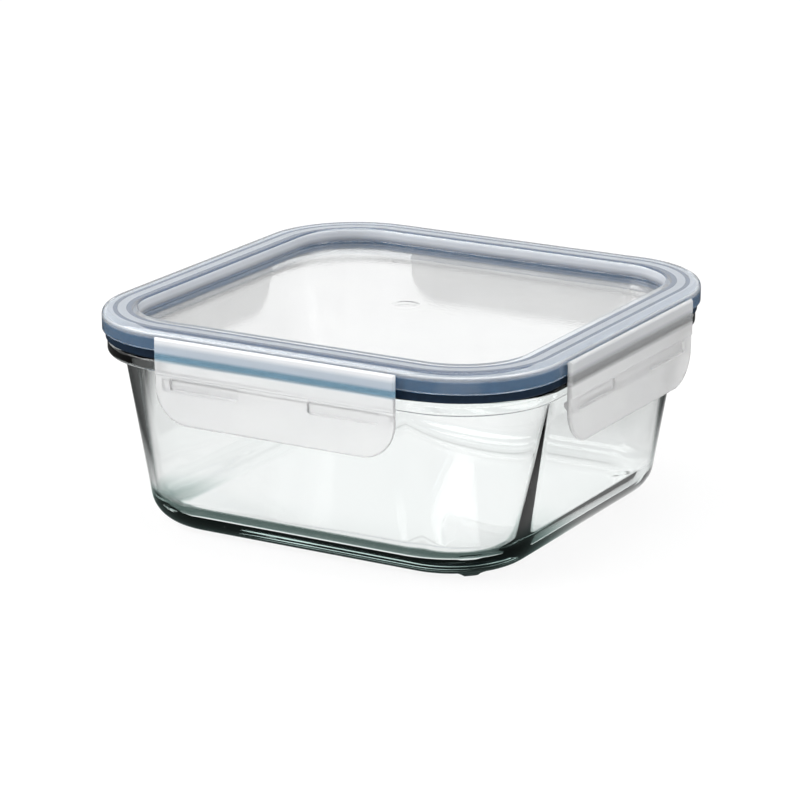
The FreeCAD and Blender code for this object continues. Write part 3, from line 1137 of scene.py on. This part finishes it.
@dataclass
class FilmHinge:
    """The thin web that joins a flap's rounded hinge edge to the lid's rim."""

    side: Side
    outer: float
    low: float
    high: float
    half_width: float
    root: float = 74.35
    slack: float = 0.03
    root_round: float = 0.1
    edge_round: float = 0.15
    round_end: float = 0.5
    end_points: int = 6
    body_points: int = 12

    @classmethod
    def from_frame(cls, side: Side) -> "FilmHinge":
        """Reads a web's size from the right-hand one, which all four share.

        Args:
            side: the web's side.

        Returns: the web.
        """
        low, high = node_box("film_hinge_right")
        return cls(side=side, outer=high[0], low=low[2], high=high[2], half_width=high[1])

    def build(self) -> Skin:
        """Sweeps a slim rounded section along the side and closes both ends on the section's middle.

        Near an end the section shrinks about its middle by the square root of one less the square of the
        share of the last stretch, which rounds the end.

        Returns: the web's skin.
        """
        line = rounded_line(
            [
                (self.root, self.low + self.slack, self.root_round),
                (self.outer, self.low + self.slack, self.edge_round),
                (self.outer, self.high - self.slack, self.edge_round),
                (self.root, self.high - self.slack, self.root_round),
            ],
            closed=True,
        )
        middle = line.mean(axis=0)
        quarter = np.linspace(0.0, 0.5 * math.pi, self.end_points)
        body = np.linspace(0.0, self.half_width - self.round_end, self.body_points)
        half = np.concatenate([body, self.half_width - self.round_end * (1.0 - np.sin(quarter[1:]))])
        along = np.concatenate([-half[:0:-1], half])
        share = np.clip((np.abs(along) - self.half_width) / self.round_end + 1.0, 0.0, 1.0)
        size = np.sqrt(np.maximum(1.0 - share**2, 0.0))[:, None, None]
        section = middle[None, None, :] + size * (line - middle)[None, :, :]
        places = np.broadcast_to(along[:, None], section.shape[:2])
        grid = self.side.place(section[:, :, 0], places, section[:, :, 1])
        return Skin.from_shell(grid, np.zeros(len(along), int))

    def dress(self, skin: Skin, finish: bpy.types.Material) -> None:
        """Puts the plastic on the web.

        Args:
            skin: the web's skin.
            finish: the plastic of the web's side.
        """
        skin.make("film_hinge_" + self.side.word, "lid", Slot.PLASTIC, finish)


@dataclass(frozen=True)
class Lamp:
    """One soft square lamp that aims at the box."""

    name: str
    place: Place
    width: float
    power: float


@dataclass(frozen=True)
class Studio:
    """White table, pale surroundings, soft lamps and the camera at the photograph's place."""

    aim: Place = (-0.01021, 0.01439, 0.02700)
    azimuth: float = 29.83
    elevation: float = 16.53
    distance: float = 1.07365
    lens: float = 156.27
    sensor: float = 36.0
    table_half: float = 15.0
    table_drop: float = 0.00005
    table_white: float = 0.85
    through_white: float = 0.97
    table_tones: Span = (0.88, 0.90)
    table_roughness: float = 0.9
    paint_scale: float = 30.0
    paint_detail: float = 2.0
    left_light: float = 1.25
    right_light: float = 0.50
    room: tuple[Span, ...] = ((0.0, 0.35), (0.05, 0.10), (0.25, 0.30), (0.55, 0.85), (1.0, 1.0))
    lit_middle: Place = (-0.045, 0.078, 0.0)
    lit_size: Place = (0.088, 0.60, 1.0)
    dim_span: Span = (1.0, 1.35)
    lit_share: float = 0.95
    dim_share: float = 0.05
    shade_flat: float = 0.0365
    shade_rise: Span = (0.0145, 0.0175)
    shade_fall: Span = (0.0360, 0.0500)
    shade_share: float = 0.85
    shade_far: float = 0.04
    shade_tint: Colour = (0.55, 0.90, 0.82)
    shade_near: Place = (0.15, -0.99, 0.0)
    near_span: Span = (0.0, 0.04)
    lamps: tuple[Lamp, ...] = (
        Lamp("key_lamp", (-1.2, -0.8, 1.2), 1.2, 26.0),
        Lamp("top_lamp", (0.1, 0.3, 1.6), 1.4, 16.0),
        Lamp("side_lamp", (1.25, 0.15, 0.55), 1.0, 6.0),
    )

    def table(self) -> None:
        """Lays the white table, which takes the shadow."""
        half = self.table_half
        corners = [(-half, -half), (half, -half), (half, half), (-half, half)]
        mesh = bpy.data.meshes.new("table_top")
        mesh.from_pydata([(x, y, -self.table_drop) for x, y in corners], [], [(0, 1, 2, 3)])
        mesh.materials.append(self.table_white_paint())
        table = bpy.data.objects.new("table", mesh)
        bpy.context.scene.collection.objects.link(table)
        LOG.info("table laid")

    def table_white_paint(self) -> bpy.types.Material:
        """Mixes a plain white with a glow: white to the camera, shaded in mirrors and through glass.

        Returns: the table's material.
        """
        material, tree, shader = new_material("white_table")
        first, second = ((tone, tone, tone) for tone in self.table_tones)
        mottle = cloud(tree, self.paint_scale, self.paint_detail)
        tree.links.new(two_tone(tree, mottle, first, second), shader.inputs["Base Color"])
        shader.inputs["Roughness"].default_value = self.table_roughness
        shader.inputs["Specular IOR Level"].default_value = 0.0
        camera = tree.nodes.new("ShaderNodeLightPath").outputs["Is Camera Ray"]
        shadow = self.edge_shadow(tree)
        shaded = reckon(tree, "MULTIPLY", self.lit_oval(tree), shadow)
        in_the_open = reckon(tree, "MAXIMUM", camera, shadow)
        glow = tree.nodes.new("ShaderNodeEmission")
        tree.links.new(reckon(tree, "MAXIMUM", camera, shaded), glow.inputs["Strength"])
        tree.links.new(blend(tree, in_the_open, self.shade_tint, WHITE), glow.inputs["Color"])
        mix = tree.nodes.new("ShaderNodeMixShader")
        tree.links.new(self.glow_share(tree), mix.inputs["Fac"])
        tree.links.new(shader.outputs["BSDF"], mix.inputs[1])
        tree.links.new(glow.outputs["Emission"], mix.inputs[2])
        tree.links.new(mix.outputs["Shader"], tree.nodes["Material Output"].inputs["Surface"])
        return material

    def lit_oval(self, tree: Tree) -> Socket:
        """Lights a long oval of the table that lies along the line of sight.

        Args:
            tree: the node tree.

        Returns: the lit share inside the oval, falling to the dim share outside.
        """
        oval = tree.nodes.new("ShaderNodeMapping")
        oval.vector_type = "TEXTURE"
        oval.inputs["Location"].default_value = self.lit_middle
        oval.inputs["Rotation"].default_value = (0.0, 0.0, math.radians(self.azimuth))
        oval.inputs["Scale"].default_value = self.lit_size
        tree.links.new(coordinates(tree), oval.inputs["Vector"])
        away = reckon_vector(tree, "LENGTH", oval.outputs["Vector"])
        return remap(tree, away, self.dim_span, (self.lit_share, self.dim_share))

    def edge_shadow(self, tree: Tree) -> Socket:
        """Shades the table in the narrow gap under the dish's rounded edge.

        The distance is measured from the square between the four corner centres, so the shadow is a
        rounded-square band that fades on both its sides. It is deep on the near sides and faint on the far
        sides, which the light reaches.

        Args:
            tree: the node tree.

        Returns: 1 in the open and less under the edge.
        """
        place = coordinates(tree)
        flat = reckon_vector(tree, "MULTIPLY", place, (1.0, 1.0, 0.0))
        fold = reckon_vector(tree, "ABSOLUTE", flat)
        centre = (self.shade_flat, self.shade_flat, 0.0)
        past = reckon_vector(tree, "SUBTRACT", fold, centre)
        outside = reckon_vector(tree, "MAXIMUM", past, (0.0, 0.0, 0.0))
        gap = reckon_vector(tree, "LENGTH", outside)
        rise = remap(tree, gap, self.shade_rise, smooth=True)
        fall = remap(tree, gap, self.shade_fall, (self.shade_share, 0.0), smooth=True)
        ahead = reckon_vector(tree, "DOT_PRODUCT", place, self.shade_near)
        near = remap(tree, ahead, self.near_span, (self.shade_far, 1.0), smooth=True)
        deep = reckon(tree, "MULTIPLY", reckon(tree, "MULTIPLY", rise, fall), near)
        return reckon(tree, "SUBTRACT", 1.0, deep)

    def glow_share(self, tree: Tree) -> Socket:
        """Sets how much of the table glows: most to the camera, nearly all in mirrors and through glass.

        Args:
            tree: the node tree.

        Returns: the share, 0 for all other rays.
        """
        path = tree.nodes.new("ShaderNodeLightPath").outputs
        bent = reckon(tree, "MAXIMUM", path["Is Glossy Ray"], path["Is Transmission Ray"])
        direct = reckon(tree, "MULTIPLY", path["Is Camera Ray"], self.table_white)
        return reckon(tree, "MAXIMUM", direct, reckon(tree, "MULTIPLY", bent, self.through_white))

    def surroundings(self) -> None:
        """Sets the world: white to the camera and in mirrors, else a room, brighter above and at left."""
        world = bpy.data.worlds.new("pale_room")
        bpy.context.scene.world = world
        world.use_nodes = True
        tree = world.node_tree
        back = tree.nodes["Background"]
        aim = coordinates(tree, "Generated")
        tones = [(position, (tone, tone, tone)) for position, tone in self.room]
        room = ramp(tree, upward(tree, aim), tones)
        turn = math.radians(self.azimuth)
        rightward = (math.cos(turn), math.sin(turn), 0.0)
        beside = reckon_vector(tree, "DOT_PRODUCT", aim, rightward)
        slope = remap(tree, beside, (-1.0, 1.0), (self.left_light, self.right_light))
        shade = reckon_vector(tree, "MULTIPLY", room, slope)
        path = tree.nodes.new("ShaderNodeLightPath").outputs
        seen = reckon(tree, "MAXIMUM", path["Is Camera Ray"], path["Is Glossy Ray"])
        tree.links.new(blend(tree, seen, shade, WHITE), back.inputs["Color"])
        back.inputs["Strength"].default_value = 1.0

    def light(self) -> None:
        """Hangs the soft lamps, each aimed at the box."""
        target = Vector(self.aim)
        for lamp in self.lamps:
            data = bpy.data.lights.new(lamp.name, "AREA")
            data.shape = "SQUARE"
            data.size = lamp.width
            data.energy = lamp.power
            holder = bpy.data.objects.new(lamp.name, data)
            holder.location = lamp.place
            holder.rotation_euler = (target - Vector(lamp.place)).to_track_quat("-Z", "Y").to_euler()
            bpy.context.scene.collection.objects.link(holder)
            LOG.info("%s hung", lamp.name)

    def camera(self) -> None:
        """Stands the camera at its azimuth and elevation round the aim."""
        turn = math.radians(self.azimuth)
        rise = math.radians(self.elevation)
        back = Vector((math.sin(turn) * math.cos(rise), -math.cos(turn) * math.cos(rise), math.sin(rise)))
        data = bpy.data.cameras.new("photo_camera")
        data.lens = self.lens
        data.sensor_width = self.sensor
        holder = bpy.data.objects.new("photo_camera", data)
        holder.location = Vector(self.aim) + back * self.distance
        holder.rotation_euler = (-back).to_track_quat("-Z", "Y").to_euler()
        bpy.context.scene.collection.objects.link(holder)
        bpy.context.scene.camera = holder

    def build(self) -> None:
        """Sets up the whole studio."""
        bpy.context.scene.view_settings.view_transform = "Standard"
        self.table()
        self.surroundings()
        self.light()
        self.camera()


def flap_finishes() -> dict[Side, bpy.types.Material]:
    """Mixes the flaps' plastic as a lit copy on the front, with the seal's blue glow painted in a band, and
    a shaded grey copy on the other sides.

    Returns: the plastic of each side.
    """
    # painted light on the front flap, with the seal's blue glow painted in bands at the seal's height
    painted_lit_veils = (
        Veil(0.0576, 0.66),
        Veil(0.0588, 0.72, (0.42, 0.72, 0.92)),
        Veil(0.0599, 0.72, (0.44, 0.73, 0.92)),
        Veil(0.0608, 0.60, (0.82, 0.91, 1.0)),
        Veil(0.0624, 0.58, (0.86, 0.93, 1.0)),
        Veil(0.0636, 0.38, (0.98, 0.99, 1.0)),
    )
    # painted shade: greyer, duller bands for the flaps on the other sides
    painted_shade_veils = (
        Veil(0.0572, 0.62),
        Veil(0.0587, 0.82, (0.84, 0.85, 0.85)),
        Veil(0.0600, 0.78, (0.86, 0.87, 0.87)),
        Veil(0.0622, 0.56, (0.92, 0.93, 0.94)),
    )
    lit = MilkyPlastic("flap_plastic_painted_lit", (0.14, 0.20), painted_lit_veils).build()
    shaded = MilkyPlastic("flap_plastic_painted_shade", (0.16, 0.24), painted_shade_veils).build()
    # lit and shaded copies of one plastic, given out by side
    return {side: lit if side is Side.FRONT else shaded for side in Side}


def main() -> None:
    """Loads the frame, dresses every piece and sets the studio."""
    logging.basicConfig(level=logging.INFO, format="%(name)s: %(message)s")
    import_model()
    dish = GlassDish.from_frame()
    seal = SealRing.from_frame()
    lid = Lid.from_frame()
    finishes = flap_finishes()
    flaps = [Latch.from_frame(side) for side in Side]
    webs = [FilmHinge.from_frame(side) for side in Side]
    dish.dress(dish.build())
    seal.dress(seal.build())
    lid.dress(lid.build())
    for flap in flaps:
        flap.dress(flap.build(), finishes[flap.side])
    for web in webs:
        web.dress(web.build(), finishes[web.side])
    Studio().build()


if __name__ == "__main__":
    main()
